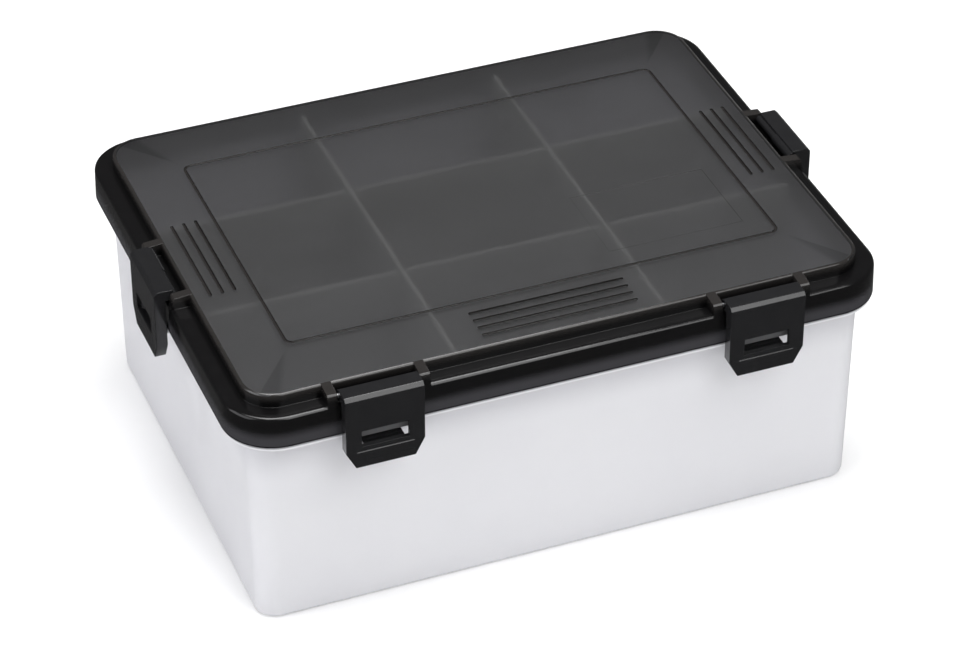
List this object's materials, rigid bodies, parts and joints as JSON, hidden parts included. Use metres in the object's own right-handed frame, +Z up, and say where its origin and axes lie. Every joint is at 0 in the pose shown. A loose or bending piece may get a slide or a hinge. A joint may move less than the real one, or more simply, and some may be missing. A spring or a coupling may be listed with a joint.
{
  "type": "tackle box",
  "caption": "Portable waterproof tackle box: frosted divided tub under a smoke-tinted hinged lid, sealed by a gasket and shut by over-edge latches.",
  "frame": {"origin": "centre of the tub's flat underside", "axes": "+Z up, +X along the long side, front with two latches at -Y"},
  "size_m": [0.3636, 0.279, 0.141],
  "materials": {
    "frosted_tub": "frosted milky white polypropylene, faintly translucent",
    "smoke_lid": "smoke-tinted translucent plastic, glossy",
    "seal_rubber": "black seal rubber",
    "black_latch": "black moulded plastic, satin gloss",
    "pin_steel": "plain steel pin",
    "frosted_divider": "frosted clear plastic sheet"
  },
  "bodies": {
    "tub": {"base_tub": "frosted_tub", "hinge_pin_left": "pin_steel", "hinge_pin_right": "pin_steel", "long_divider_left": "frosted_divider", "long_divider_right": "frosted_divider", "short_divider_rear_left": "frosted_divider", "short_divider_rear_middle": "frosted_divider", "short_divider_rear_right": "frosted_divider", "short_divider_front_left": "frosted_divider", "short_divider_front_middle": "frosted_divider", "short_divider_front_right": "frosted_divider"},
    "lid": {"lid_shell": "smoke_lid", "lid_gasket": "seal_rubber", "latch_pin_front_left": "pin_steel", "latch_pin_front_right": "pin_steel", "latch_pin_side_left": "pin_steel", "latch_pin_side_right": "pin_steel"},
    "front_left_latch": {"latch_front_left": "black_latch"},
    "front_right_latch": {"latch_front_right": "black_latch"},
    "side_left_latch": {"latch_side_left": "black_latch"},
    "side_right_latch": {"latch_side_right": "black_latch"}
  },
  "joints": [
    {"name": "lid_hinge", "type": "hinge", "parent": "tub", "child": "lid", "pos_m": [0, 0.1364, 0.1163], "axis": [-1, 0, 0], "range_deg": [0, 105]},
    {"name": "front_left_latch_pivot", "type": "hinge", "parent": "lid", "child": "front_left_latch", "pos_m": [-0.102, -0.1284, 0.1372], "axis": [-1, 0, 0], "range_deg": [0, 110]},
    {"name": "front_right_latch_pivot", "type": "hinge", "parent": "lid", "child": "front_right_latch", "pos_m": [0.102, -0.1284, 0.1372], "axis": [-1, 0, 0], "range_deg": [0, 110]},
    {"name": "side_left_latch_pivot", "type": "hinge", "parent": "lid", "child": "side_left_latch", "pos_m": [-0.1714, 0, 0.1372], "axis": [0, 1, 0], "range_deg": [0, 110]},
    {"name": "side_right_latch_pivot", "type": "hinge", "parent": "lid", "child": "side_right_latch", "pos_m": [0.1714, 0, 0.1372], "axis": [0, -1, 0], "range_deg": [0, 110]}
  ]
}
